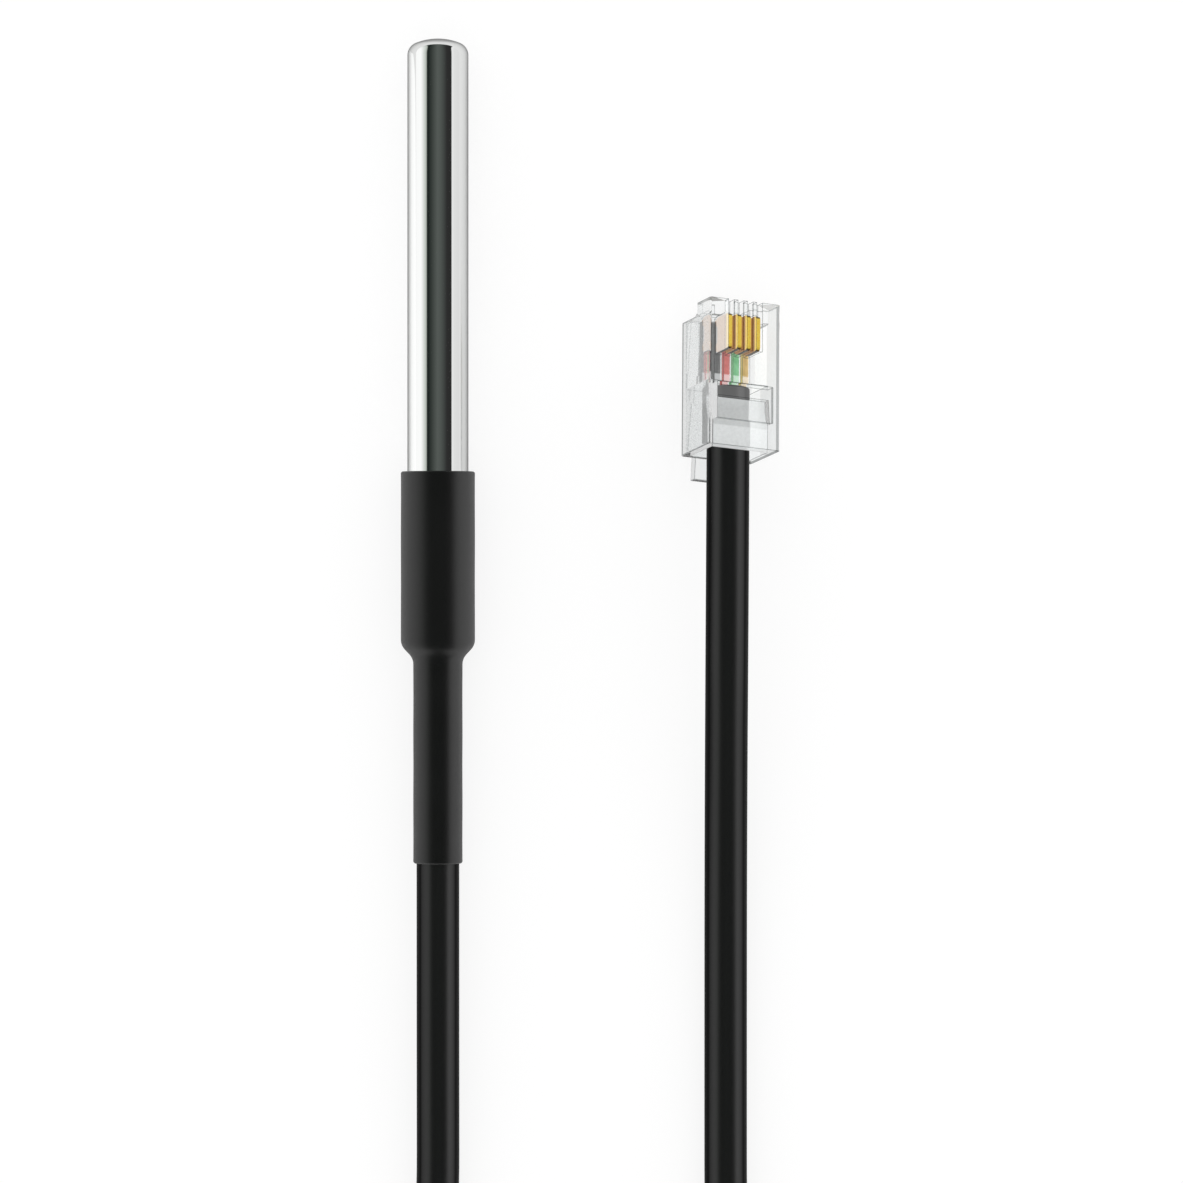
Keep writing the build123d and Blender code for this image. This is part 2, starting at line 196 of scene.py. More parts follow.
def polycarbonate(name, plug, bend, veil, glow=0.74, rounding=0.16 * mm, band=None, paintedRims=()):
    # Polycarbonate, injection moulded: water clear, with painted shade as grey lines where an edge turns. bend is the
    # index of refraction; veil is the part of a face that is milky, from 0 where the tool is polished, with a grit
    # that is coarser than the real one, so that it shows; glow is a painted glow that comes out of the milk, though
    # it is no lamp;
    # rounding is the radius of the edges. Band and rims are in the frame of the matrix plug. Band is where the cores
    # are
    # pressed down: its start and end along Y, how soft both are and how much milkier it is. The rims are painted
    # shade on
    # the thicknesses of walls seen end on: the axis of each, where it begins, where it is full and how grey it is
    material, tree, output, place = newMaterial(name)
    flow = addNode(tree, "ShaderNodeTexNoise", {"Scale": patternScale(1.8), "Detail": 1.0}, {"Vector": place})
    bump = addNode(tree, "ShaderNodeBump", {"Strength": 0.03, "Distance": 0.05 * mm},
                   {"Height": flow.outputs["Fac"]})
    rounded = addNode(tree, "ShaderNodeBevel", {"samples": 8, "Radius": rounding}, {"Normal": bump.outputs["Normal"]})
    flat = addNode(tree, "ShaderNodeNewGeometry")
    # edge goes from 0 to 1 as the rounded normal turns away from the flat one
    turn = addNode(tree, "ShaderNodeVectorMath", {"operation": "DOT_PRODUCT"},
                   {0: rounded.outputs["Normal"], 1: flat.outputs["Normal"]})
    edge = addNode(tree, "ShaderNodeMapRange", {"From Min": 0.995, "From Max": 0.9},
                   {"Value": turn.outputs["Value"]}).outputs["Result"]
    if band or paintedRims:
        spot = plugPosition(tree, place, plug)
    # painted shade: grey bands where walls are seen end on
    for axis, begin, full, share in paintedRims:
        wall = addNode(tree, "ShaderNodeMapRange", {"From Min": begin, "From Max": full, "To Max": share},
                       {"Value": spot[axis]})
        edge = addNode(tree, "ShaderNodeMath", {"operation": "MAXIMUM"},
                       {0: edge, 1: wall.outputs["Result"]}).outputs["Value"]
    # painted shade: the clear plastic is tinted grey along its edges and rims
    tone = addNode(tree, "ShaderNodeMixRGB", {"Color1": hexToLinear("#FAFBFB"), "Color2": hexToLinear("#5C6060")},
                   {"Fac": edge})
    through = addNode(tree, "ShaderNodeBsdfPrincipled", {"Roughness": 0.0, "IOR": bend, "Transmission Weight": 1.0},
                      {"Base Color": tone.outputs["Color"], "Normal": rounded.outputs["Normal"]})
    # painted glow: the milk gives off light of its own, greyer at the edges
    paintedGlowTone = addNode(tree, "ShaderNodeMixRGB",
                       {"Color1": hexToLinear("#F0F2F2"), "Color2": hexToLinear("#7C8080")},
                       {"Fac": edge})
    milk = addNode(tree, "ShaderNodeBsdfPrincipled",
                   {"Base Color": hexToLinear("#C8CACA"), "Roughness": 0.5, "Emission Strength": glow},
                   {"Emission Color": paintedGlowTone.outputs["Color"]})
    grit = addNode(tree, "ShaderNodeTexNoise", {"Scale": patternScale(0.3), "Detail": 3.0}, {"Vector": place})
    milky = addNode(tree, "ShaderNodeMapRange",
                    {"From Min": 0.3, "From Max": 0.7, "To Min": 0.95 * veil, "To Max": 1.05 * veil},
                    {"Value": grit.outputs["Fac"]}).outputs["Result"]
    if band:
        bandStart, bandEnd, softness, share = band
        start = addNode(tree, "ShaderNodeMapRange", {"From Min": bandStart - softness, "From Max": bandStart},
                        {"Value": spot["Y"]})
        end = addNode(tree, "ShaderNodeMapRange",
                      {"From Min": bandEnd, "From Max": bandEnd + softness, "To Min": share, "To Max": 0.0},
                      {"Value": spot["Y"]})
        milky = addNode(tree, "ShaderNodeMath", {"operation": "MULTIPLY_ADD"},
                        {0: start.outputs["Result"], 1: end.outputs["Result"], 2: milky}).outputs["Value"]
    face = addNode(tree, "ShaderNodeMixShader", None,
                   {0: milky, 1: through.outputs["BSDF"], 2: milk.outputs["BSDF"]})
    withEdges = addNode(tree, "ShaderNodeMixShader", None,
                        {0: edge, 1: face.outputs["Shader"], 2: through.outputs["BSDF"]})
    tree.links.new(withEdges.outputs["Shader"], output.inputs["Surface"])
    return material


def goldPlate(plug, slotShadeStart, slotShadeFull):
    # Phosphor bronze, stamped and gold plated: warm and polished along its contact edge, with painted shade that
    # turns it brown deeper in the slot, between the two depths given in the frame of the matrix plug, and painted
    # shade that makes it dark where an end turns down. A painted glow in its own colour lightens it all. Its shear
    # marks are coarser than the real ones, so that they show
    material, tree, output, place = newMaterial("goldPlatedBronze")
    shear = addNode(tree, "ShaderNodeTexNoise", {"Scale": patternScale(0.12), "Detail": 4.0}, {"Vector": place})
    tone = addNode(tree, "ShaderNodeValToRGB", None, {"Fac": shear.outputs["Fac"]})
    fillRamp(tone, [(0.3, "#E0B73C"), (0.7, "#F3D866")])
    # painted shade: brown deeper in the slot
    paintedSlotShade = addNode(tree, "ShaderNodeMapRange", {"From Min": slotShadeStart, "From Max": slotShadeFull},
                   {"Value": plugPosition(tree, place, plug)["Z"]})
    tone = addNode(tree, "ShaderNodeMixRGB", {"Color2": hexToLinear("#A06C2C")},
                   {"Fac": paintedSlotShade.outputs["Result"], "Color1": tone.outputs["Color"]})
    # painted shade: dark where an end of a blade turns down
    normal = addNode(tree, "ShaderNodeNewGeometry").outputs["Normal"]
    endward = addNode(tree, "ShaderNodeSeparateXYZ", None, {"Vector": normal}).outputs["Y"]
    steep = addNode(tree, "ShaderNodeMath", {"operation": "ABSOLUTE"}, {0: endward})
    paintedEndShade = addNode(tree, "ShaderNodeMapRange", {"From Min": 0.4, "From Max": 0.7}, {"Value": steep.outputs["Value"]})
    tone = addNode(tree, "ShaderNodeMixRGB", {"Color2": hexToLinear("#3A2A10")},
                   {"Fac": paintedEndShade.outputs["Result"], "Color1": tone.outputs["Color"]})
    bump = addNode(tree, "ShaderNodeBump", {"Strength": 0.1, "Distance": 0.01 * mm},
                   {"Height": shear.outputs["Fac"]})
    # painted glow: the metal gives off light in its own colour
    metal = addNode(tree, "ShaderNodeBsdfPrincipled", {"Metallic": 0.8, "Roughness": 0.28, "Emission Strength": 0.44},
                    {"Base Color": tone.outputs["Color"], "Normal": bump.outputs["Normal"],
                     "Emission Color": tone.outputs["Color"]})
    tree.links.new(metal.outputs["BSDF"], output.inputs["Surface"])
    return material


def matteSolid(name, darkHex, lightHex, grainSize, roughness, bumpStrength=0.08, paintedPipedGlow=0.0):
    # Moulded, cast or extruded plastics: a tone that wanders a little and a surface grain, grainSize millimetres
    # across, coarser than the real one, so that it shows; the last argument is a painted glow in the piece's own
    # tone, standing in for the light that clear plastic round a piece leads to it
    material, tree, output, place = newMaterial(name)
    grain = addNode(tree, "ShaderNodeTexNoise", {"Scale": patternScale(grainSize), "Detail": 4.0},
                    {"Vector": place})
    tone = addNode(tree, "ShaderNodeValToRGB", None, {"Fac": grain.outputs["Fac"]})
    fillRamp(tone, [(0.3, darkHex), (0.7, lightHex)])
    bump = addNode(tree, "ShaderNodeBump", {"Strength": bumpStrength, "Distance": 0.02 * mm},
                   {"Height": grain.outputs["Fac"]})
    # painted glow: the piece gives off light in its own tone
    body = addNode(tree, "ShaderNodeBsdfPrincipled", {"Roughness": roughness, "Emission Strength": paintedPipedGlow},
                   {"Base Color": tone.outputs["Color"], "Normal": bump.outputs["Normal"],
                    "Emission Color": tone.outputs["Color"]})
    tree.links.new(body.outputs["BSDF"], output.inputs["Surface"])
    return material


def tinnedCopper():
    # Copper alloy legs, hot dipped in tin: pale, slightly dull metal
    material, tree, output, place = newMaterial("tinnedCopper")
    dip = addNode(tree, "ShaderNodeTexNoise", {"Scale": patternScale(0.4), "Detail": 3.0}, {"Vector": place})
    roughness = addNode(tree, "ShaderNodeMapRange", {"To Min": 0.25, "To Max": 0.4},
                        {"Value": dip.outputs["Fac"]})
    metal = addNode(tree, "ShaderNodeBsdfPrincipled", {"Base Color": hexToLinear("#D3D2CE"), "Metallic": 1.0},
                    {"Roughness": roughness.outputs["Result"]})
    tree.links.new(metal.outputs["BSDF"], output.inputs["Surface"])
    return material


steel = polishedStainless()
shrink = heatShrink()
tin = tinnedCopper()
print("materials made")


# Turned pieces

def arcPoints(centre, radius, startAngle, endAngle, steps):
    # points (radius from the axis, y) along an arc, angles in degrees from the radial direction
    points = []
    for i in range(steps + 1):
        angle = radians(startAngle + (endAngle - startAngle) * i / steps)
        points.append((centre[0] + radius * cos(angle), centre[1] + radius * sin(angle)))
    return points


def lathe(name, outline, axisHeight, segments):
    # closed solid of revolution about the probe's axis; its outline of points (radius, y) starts and ends on the
    # axis, or off it and closes on itself
    mesh = bpy.data.meshes.new(name)
    bm = bmesh.new()
    rings = []
    for radius, y in outline:
        if radius == 0:
            rings.append([bm.verts.new((0.0, y, axisHeight))])
            continue
        ring = []
        for i in range(segments):
            angle = 2 * pi * i / segments
            ring.append(bm.verts.new((radius * sin(angle), y, axisHeight + radius * cos(angle))))
        rings.append(ring)
    pairs = list(zip(rings, rings[1:]))
    if len(rings[0]) > 1:
        pairs.append((rings[-1], rings[0]))
    for first, second in pairs:
        for i in range(segments):
            j = (i + 1) % segments
            corners = [first[i % len(first)], first[j % len(first)], second[j % len(second)], second[i % len(second)]]
            corners = list(dict.fromkeys(corners))
            if len(corners) > 2:
                bm.faces.new(corners)
    bmesh.ops.recalc_face_normals(bm, faces=bm.faces)
    bm.to_mesh(mesh)
    bm.free()
    mesh.shade_smooth()
    return addPiece(name, mesh)


probeSettings = {
    "wall": 0.3 * mm,
    "crownRadius": 5.8 * mm,
    "knuckleRadius": 1.3 * mm,
    "segments": 192,
    "crownSteps": 10,
    "knuckleSteps": 16,
    "wallSteps": 24,  # rings along the straight wall keep the shading even
    "mouthRound": 0.08 * mm,
    "mouthSteps": 4,
}

tubeLow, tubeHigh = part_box("probe_tube")
tubeRadius = (tubeHigh.x - tubeLow.x) / 2
axisHeight = (tubeHigh.z + tubeLow.z) / 2
tipY = tubeHigh.y


def domeOutline(inset, settings):
    # apex to the start of the straight wall
    radius = tubeRadius - inset
    crown = settings["crownRadius"] - inset
    knuckle = settings["knuckleRadius"] - inset
    crownY = tipY - settings["crownRadius"]
    knuckleX = radius - knuckle
    knuckleY = crownY + sqrt((crown - knuckle) ** 2 - knuckleX ** 2)
    touch = degrees(atan2(knuckleY - crownY, knuckleX))
    points = arcPoints((0, crownY), crown, 90, touch, settings["crownSteps"])
    points[0] = (0, crownY + crown)
    points += arcPoints((knuckleX, knuckleY), knuckle, touch, 0, settings["knuckleSteps"])[1:]
    return points


def makeProbe(settings):
    mouth = settings["mouthRound"]
    outline = domeOutline(0, settings)
    wallTop = outline[-1][1]
    for i in range(1, settings["wallSteps"]):
        outline.append((tubeRadius, wallTop + (tubeLow.y - wallTop) * i / settings["wallSteps"]))
    outline += arcPoints((tubeRadius - mouth, tubeLow.y + mouth), mouth, 0, -90, settings["mouthSteps"])
    outline += list(reversed(domeOutline(settings["wall"], settings) + [(tubeRadius - settings["wall"], tubeLow.y)]))
    return lathe("polishedProbeTube", outline, axisHeight, settings["segments"])


probe = makeProbe(probeSettings)
wear(probe, steel)
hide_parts("probe_tube")
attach(probe, "root")
print("probe tube turned")


sleeveSettings = {
    "smallRadius": 2.425 * mm,
    "cableRadius": 2.1 * mm,
    "shoulderStart": -18.5 * mm,
    "shoulderLength": 2.5 * mm,
    "boreStepStart": -19.45 * mm,
    "boreStepLength": 1.25 * mm,
    "topRound": 0.22 * mm,
    "endRound": 0.25 * mm,
    "roundSteps": 6,
    "segments": 160,
    "wideSteps": 40,
    "shoulderSteps": 24,
    "narrowSteps": 50,
    "boreSteps": 12,
    "waviness": 0.012 * mm,  # recovered tube is never quite straight
    "wideWave": 1.4 * mm,
    "narrowWave": 1.1 * mm,
}

sleeveLow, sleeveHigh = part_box("outer_sleeve")
sleeveRadius = (sleeveHigh.x - sleeveLow.x) / 2


def stepCurve(start, end, steps):
    # smooth step from one (radius, y) to another: a Bezier curve whose handles both reach half its length
    points = []
    for i in range(steps + 1):
        t = i / steps
        across = t * t * (3 - 2 * t)
        along = 1.5 * t * (1 - t) + t ** 3
        points.append((start[0] + (end[0] - start[0]) * across, start[1] + (end[1] - start[1]) * along))
    return points


def makeSleeve(settings):
    topRound = settings["topRound"]
    endRound = settings["endRound"]
    small = settings["smallRadius"]
    wave = settings["waviness"]
    top = sleeveHigh.y
    shoulderEnd = settings["shoulderStart"] - settings["shoulderLength"]
    outline = [(tubeRadius, top)]
    outline += arcPoints((sleeveRadius - topRound, top - topRound), topRound, 90, 0, settings["roundSteps"])
    for i in range(1, settings["wideSteps"]):
        y = top - topRound + (settings["shoulderStart"] - top + topRound) * i / settings["wideSteps"]
        outline.append((sleeveRadius - wave * (1 - cos(y / settings["wideWave"])) / 2, y))
    outline += stepCurve((sleeveRadius, settings["shoulderStart"]), (small, shoulderEnd), settings["shoulderSteps"])
    for i in range(1, settings["narrowSteps"]):
        y = shoulderEnd + (sleeveLow.y + endRound - shoulderEnd) * i / settings["narrowSteps"]
        outline.append((small - wave * (1 - cos(y / settings["narrowWave"])) / 2, y))
    outline += arcPoints((small - endRound, sleeveLow.y + endRound), endRound, 0, -90, settings["roundSteps"])
    outline.append((settings["cableRadius"], sleeveLow.y))
    boreEnd = settings["boreStepStart"] - settings["boreStepLength"]
    outline += stepCurve((settings["cableRadius"], boreEnd), (tubeRadius, settings["boreStepStart"]),
                         settings["boreSteps"])
    return lathe("heatShrinkSleeve", outline, axisHeight, settings["segments"])


sleeve = makeSleeve(sleeveSettings)
wear(sleeve, shrink)
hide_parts("outer_sleeve")
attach(sleeve, "root")
print("sleeve turned")


# The lead: the same route points as the model's, in metres, with the hank's turns between them
leadSettings = {
    "diameter": 4.2 * mm,
    "probeRoute": [
        (0.0, -0.012, 0.00365),
        (0.0, -0.058, 0.00365),
        (0.0, -0.080, 0.00215),
        (-0.00334, -0.094, 0.0027),
        (-0.00334, -0.105, 0.0027),
    ],
    "plugRoute": [
        (0.03166, -0.105, 0.0069),
        (0.03166, -0.093, 0.0069),
        (0.02832, -0.0825, 0.0025),  # this point and the next lie lower than the model's: straight in the photo
        (0.02832, -0.058, 0.0021),
        (0.02832, -0.036, 0.0033),
        (0.02832, -0.0148, 0.00992),
        (0.02852, 0.00602, 0.00549),
    ],
    "hankMiddleX": 14.16 * mm,
    "foldRadius": 13.3 * mm,
    "foldTop": -118.0 * mm,
    "run": 63.0 * mm,
    "lowLayer": 2.7 * mm,
    "foldPoints": 9,
    "runPoints": 3,
    "exit": (0.0, -0.04055, 0.00365),  # where it leaves the sleeve
    "stepsPerPoint": 12,
    "roundSteps": 10,
    "litFrom": 4.3 * mm,
    "litFull": 4.8 * mm,
}


def hankPoints(settings):
    # four flat turns, two side by side and two high; the lead changes its place in the top folds
    diameter = settings["diameter"]
    inner = settings["foldRadius"]
    outer = inner + diameter
    low = settings["lowLayer"]
    high = low + diameter
    places = [(outer, low), (inner, low), (inner, high), (outer, high)]
    changes = [(2 / 3, 1), (1 / 3, 2 / 3), (0, 1 / 3)]  # stretch of the top fold in which each change is made
    middle = settings["hankMiddleX"]
    top = settings["foldTop"]
    bottom = top - settings["run"]
    count = settings["foldPoints"]
    step = pi / count
    points = []
    for turn, (radius, z) in enumerate(places):
        for i in range(1, settings["runPoints"] + 1):
            y = top - settings["run"] * i / (settings["runPoints"] + 1)
            points.append((middle - radius, y, z))
        for i in range(count):
            angle = pi + step * (i + 0.5)
            reach = radius / cos(step / 2)
            points.append((middle + reach * cos(angle), bottom + reach * sin(angle), z))
        for i in range(1, settings["runPoints"] + 1):
            y = bottom + settings["run"] * i / (settings["runPoints"] + 1)
            points.append((middle + radius, y, z))
        if turn == len(places) - 1:
            break
        nextRadius, nextZ = places[turn + 1]
        start, end = changes[turn]
        for i in range(count):
            along = min(max(((i + 0.5) / count - start) / (end - start), 0), 1)
            reach = (radius + (nextRadius - radius) * along) / cos(step / 2)
            angle = step * (i + 0.5)
            points.append((middle + reach * cos(angle), top + reach * sin(angle), z + (nextZ - z) * along))
    return points


def makeLead(settings):
    points = settings["probeRoute"] + hankPoints(settings) + settings["plugRoute"]
    curve = bpy.data.curves.new("leadJacket", "CURVE")
    curve.dimensions = "3D"
    spline = curve.splines.new("NURBS")
    spline.points.add(len(points) - 1)
    for controlPoint, place in zip(spline.points, points):
        controlPoint.co = (*place, 1.0)
    spline.order_u = 3
    spline.use_endpoint_u = True
    curve.resolution_u = settings["stepsPerPoint"]
    curve.bevel_depth = settings["diameter"] / 2
    curve.bevel_resolution = settings["roundSteps"]
    curve.use_fill_caps = True
    return addPiece("leadJacket", curve)


def curveLength(piece):
    # length of the line without its thickness
    bare = piece.data.copy()
    bare.bevel_depth = 0
    lineObject = addPiece("lineOnly", bare)
    bpy.context.view_layer.update()
    line = bpy.data.meshes.new_from_object(lineObject.evaluated_get(bpy.context.evaluated_depsgraph_get()))
    total = sum((line.vertices[a].co - line.vertices[b].co).length for a, b in (e.vertices for e in line.edges))
    bpy.data.objects.remove(lineObject)
    bpy.data.curves.remove(bare)
    bpy.data.meshes.remove(line)
    return total


lead = makeLead(leadSettings)
wear(lead, jacketPvc(leadSettings["litFrom"], leadSettings["litFull"]))
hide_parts("cable_probe_run", "cable_hank", "cable_plug_run")
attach(lead, "root")
leadLength = curveLength(lead)
print("lead laid:", round(leadLength, 4), "m")


# The plug: its own frame has the rear face at the origin, the nose along +Y and the contacts at +Z
plugSettings = {
    "jacketInside": 6.6 * mm,
    "roll": radians(25.0),
    "slotShadeStart": 3.1 * mm,
    # depths over which the contacts' painted slot shade sets in
    "slotShadeFull": 2.95 * mm,
    # where each kind of face lies
    "skin": 0.01 * mm,  # what a face may be out of its plane
    "barFront": 5.2 * mm,
    "frostLow": 2.08 * mm,
    "sideX": 3.8 * mm,
    "insideX": 2.9 * mm,
    "topZ": 3.7 * mm,
    "latchZ": -2.6 * mm,
    "noseY": 13.3 * mm,
    "noseLow": -2.6 * mm,
    "slotWallX": (-1.92 * mm, -1.6 * mm),
    "wireTop": 1.0 * mm,
    "leaning": 0.3,  # part of its normal by which a face leans over
    "square": 0.9,   # and by which it is square to an axis
    # the photo shows what lies under the plug's top almost unbent, but its sides bend the light
    # glow is each face's painted glow and the rims its painted grey shade, set apart for the left and right sides
    "faces": {
        "polycarbonateEdges": {"bend": 1.42, "veil": 0.0},
        "polycarbonateInside": {"bend": 1.0, "veil": 0.0},
        "polycarbonateTop": {"bend": 1.1, "veil": 0.06},
        "polycarbonateLeft": {"bend": 1.42, "veil": 0.34, "glow": 0.3, "rounding": 0.4 * mm,
                              "paintedRims": [("Z", -2.2 * mm, -2.32 * mm, 1.0), ("Y", 14.36 * mm, 14.44 * mm, 0.75)]},
        "frostedPolycarbonate": {"bend": 1.1, "veil": 0.7, "glow": 0.66, "paintedRims": [("Y", 2.2 * mm, 2.35 * mm, 0.17)]},
        "pressedPolycarbonate": {"bend": 1.03, "veil": 0.0, "band": (6.5 * mm, 7.8 * mm, 0.1 * mm, 0.45)},
        "polycarbonateRight": {"bend": 1.0, "veil": 0.5, "glow": 0.9, "rounding": 0.3 * mm,
                               "paintedRims": [("Z", 2.62 * mm, 2.74 * mm, 0.9), ("Z", 0.2 * mm, 0.5 * mm, 0.3)]},
        "polycarbonateRear": {"bend": 1.42, "veil": 0.0, "paintedRims": [("X", 3.26 * mm, 3.34 * mm, 1.0)]},
        "hazyPolycarbonate": {"bend": 1.0, "veil": 0.44, "glow": 0.9, "rounding": 0.3 * mm},
    },
}


def plugPlace(settings):
    jacketEnd = Vector(leadSettings["plugRoute"][-1])
    along = (jacketEnd - Vector(leadSettings["plugRoute"][-2])).normalized()
    rear = jacketEnd - along * settings["jacketInside"]
    turn = Matrix.Rotation(atan2(-along.x, along.y), 4, "Z") @ Matrix.Rotation(asin(along.z), 4, "X")
    return Matrix.Translation(rear) @ turn @ Matrix.Rotation(settings["roll"], 4, "Y")


def faceKind(settings, centre, normal):
    # which of the moulding's materials a face has, from its middle and its normal in the plug's frame
    x, y, z = centre
    aheadOfRear = y > settings["skin"]
    alongBar = aheadOfRear and y < settings["barFront"] + settings["skin"]
    low, high = settings["slotWallX"]
    if abs(x) > settings["sideX"]:
        return "polycarbonateLeft" if x < 0 else "polycarbonateRight"
    if z > settings["topZ"]:
        return "polycarbonateTop"
    if alongBar and z > settings["frostLow"] and normal.z < -settings["leaning"]:
        return "frostedPolycarbonate"
    if normal.x > settings["square"] and low < x < high and z > settings["wireTop"]:
        return "hazyPolycarbonate"
    if y > settings["noseY"] and z > settings["noseLow"] and abs(x) < settings["insideX"]:
        return "polycarbonateInside"
    if z > settings["latchZ"] and not aheadOfRear:
        return "polycarbonateRear"
    if normal.z < -settings["square"] and 0 < z < settings["wireTop"]:
        return "pressedPolycarbonate"
    if z > settings["latchZ"] and y < settings["noseY"] and abs(x) < settings["insideX"]:
        return "polycarbonateInside"
    return "polycarbonateEdges"


def makeHousing(settings):
    # the moulding's own shape with a material for each kind of face
    place = plugPlace(settings)
    toPlug = place.inverted()
    mesh = nodes["plug_housing"].data.copy()
    mesh.materials.clear()
    for name, values in settings["faces"].items():
        mesh.materials.append(polycarbonate(name, place, **values))
    kinds = list(settings["faces"])
    counts = dict.fromkeys(kinds, 0)
    for face in mesh.polygons:
        kind = faceKind(settings, toPlug @ face.center, toPlug.to_3x3() @ face.normal)
        face.material_index = kinds.index(kind)
        counts[kind] += 1
    print("plug faces by material:", counts)
    return addPiece("plugMoulding", mesh)


housing = makeHousing(plugSettings)
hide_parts("plug_housing")
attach(housing, "root")

wireColours = {
    # PVC core insulation, extruded: darkest and lightest tone of each
    "black": ("#565656", "#646464"),
    "red": ("#CE605C", "#E07872"),
    "green": ("#6CC282", "#86D498"),
    "yellow": ("#D2AC5C", "#E6C278"),
}
insulation = {}
for colour, (dark, light) in wireColours.items():
    insulation[colour] = matteSolid(colour + "PvcInsulation", dark, light, grainSize=0.6, roughness=0.35,
                                    paintedPipedGlow=0.34)
    wearNode("plug_wire_" + colour, insulation[colour])
gold = goldPlate(plugPlace(plugSettings), plugSettings["slotShadeStart"], plugSettings["slotShadeFull"])
for number in (1, 2, 3, 4):
    wearNode("contact_" + str(number), gold)
print("plug dressed")

# The sealed inside of the probe and the hank's ties
tubing = matteSolid("thinInsulatingTube", "#141414", "#1C1C1C", grainSize=0.3, roughness=0.45)
wearNode("potting_fill", matteSolid("castEpoxyResin", "#101012", "#18181B", grainSize=1.0, roughness=0.3))
wearNode("sensor_package", matteSolid("mouldedEpoxyPackage", "#151515", "#1F1F1F", grainSize=0.2, roughness=0.55))
wearNode("sleeve_adhesive", matteSolid("hotMeltLiner", "#8C7440", "#A78C52", grainSize=0.8, roughness=0.35))
wearNode("hank_ties", matteSolid("mouldedNylonStrap", "#151515", "#1E1E1E", grainSize=0.25, roughness=0.4,
                                 bumpStrength=0.15))
for number in (1, 2, 3):
    wearNode("sensor_lead_" + str(number), tin)
    wearNode("joint_sleeve_" + str(number), tubing)
for colour in ("black", "yellow", "red"):
    wearNode("probe_wire_" + colour, insulation[colour])

plugPieces = [housing] + [nodes["contact_" + str(number)] for number in (1, 2, 3, 4)]
plugPieces += [nodes["plug_wire_" + colour] for colour in wireColours]
for piece in [lead] + plugPieces:
    piece.visible_glossy = False  # the photo's tube mirrors nothing of the lead and the plug beside it
print("inside dressed")


# Studio: white floor, a tent that is white at both sides and dark along the top, camera straight above
studioSettings = {
    "imageSize": 1183,             # pixels; the next three place the object in that picture
    "pixelsPerMillimetre": 10.17,
    "probeAxisPixel": 437.9,
    "originRowPixel": 451.1,
    "lens": 200.0,
    "sensor": 36.0,
    "floorSize": 12.0,
    "floorWhiteSeen": 0.80,        # part of the floor's white that shadows don't touch
    "floorLitSeen": 0.22,
    # painted shade: seen through clear pieces only, the floor turns dark away from the field's centre, standing in
    # for the dark studio beyond
    "whiteField": 25.0 * mm,       # reach of the white seen through clear pieces: bent light meets the dark outside
    "darkField": 60.0 * mm,
    "darkFieldLevel": 0.12,
    "fieldCentre": (28.5 * mm, 7.0 * mm),
    "floorWhiteThrough": 0.75,
    "floorLitThrough": 0.25,
    # painted reflection: the next four set how the floor looks only in the polished tube's mirror, lighter at its
    # left, greyer at its right and beyond the tip
    "floorMirroredLeft": 1.06,     # the floor at both sides as the polished tube mirrors it
    "floorMirroredRight": 0.78,
    "mirroredTurn": (-13.0 * mm, -3.0 * mm),  # X at which the left side gives way to the right one
    "tipTurn": 0.5 * mm,           # and how soon it does so beyond the tip
    "floorLit": 0.85,
    "tentLight": 1.0,
    "tentThrough": 0.3,            # part of the tent's pattern that is seen through clear pieces
    "stripReach": 0.3,             # how far the tent's dark strip runs on to the horizon
    # grey level of the tent round the probe's axis, by degrees from straight up, towards -X and +X
    "tent": [(-90, "#FFFFFF"), (-66, "#FFFFFF"), (-46.5, "#C0C6C0"), (-42.8, "#A8AEA8"), (-39.8, "#1B211F"),
             (-34, "#212725"), (-22, "#383D3A"), (-11, "#494E4B"), (0, "#565B58"), (12, "#505552"),
             (23, "#434745"), (35, "#2F2F2F"), (53.7, "#2A2A2A"), (55.7, "#EEEEEE"), (66, "#E2E2E2"),
             (90, "#DEDEDE")],
}


def mirroredOnly(tree, throughShare):
    # 1 for rays that a surface mirrors; rays that came through clear plastic count as glossy too and get
    # this share
    path = addNode(tree, "ShaderNodeLightPath")
    return addNode(tree, "ShaderNodeMath", {"operation": "MULTIPLY_ADD", 1: throughShare - 1},
                   {0: path.outputs["Is Transmission Ray"], 2: path.outputs["Is Glossy Ray"]}).outputs["Value"]


def grey(level):
    return (level, level, level, 1.0)


def makeCamera(settings):
    width = settings["imageSize"] / settings["pixelsPerMillimetre"] * mm
    middle = settings["imageSize"] / 2
    x = (middle - settings["probeAxisPixel"]) / settings["pixelsPerMillimetre"] * mm
    y = (settings["originRowPixel"] - middle) / settings["pixelsPerMillimetre"] * mm
    data = bpy.data.cameras.new("camera")
    data.lens = settings["lens"]
    data.sensor_width = settings["sensor"]
    data.clip_start = 0.01
    camera = addPiece("camera", data)
    camera.location = (x, y, axisHeight + width * settings["lens"] / settings["sensor"])
    bpy.context.scene.camera = camera


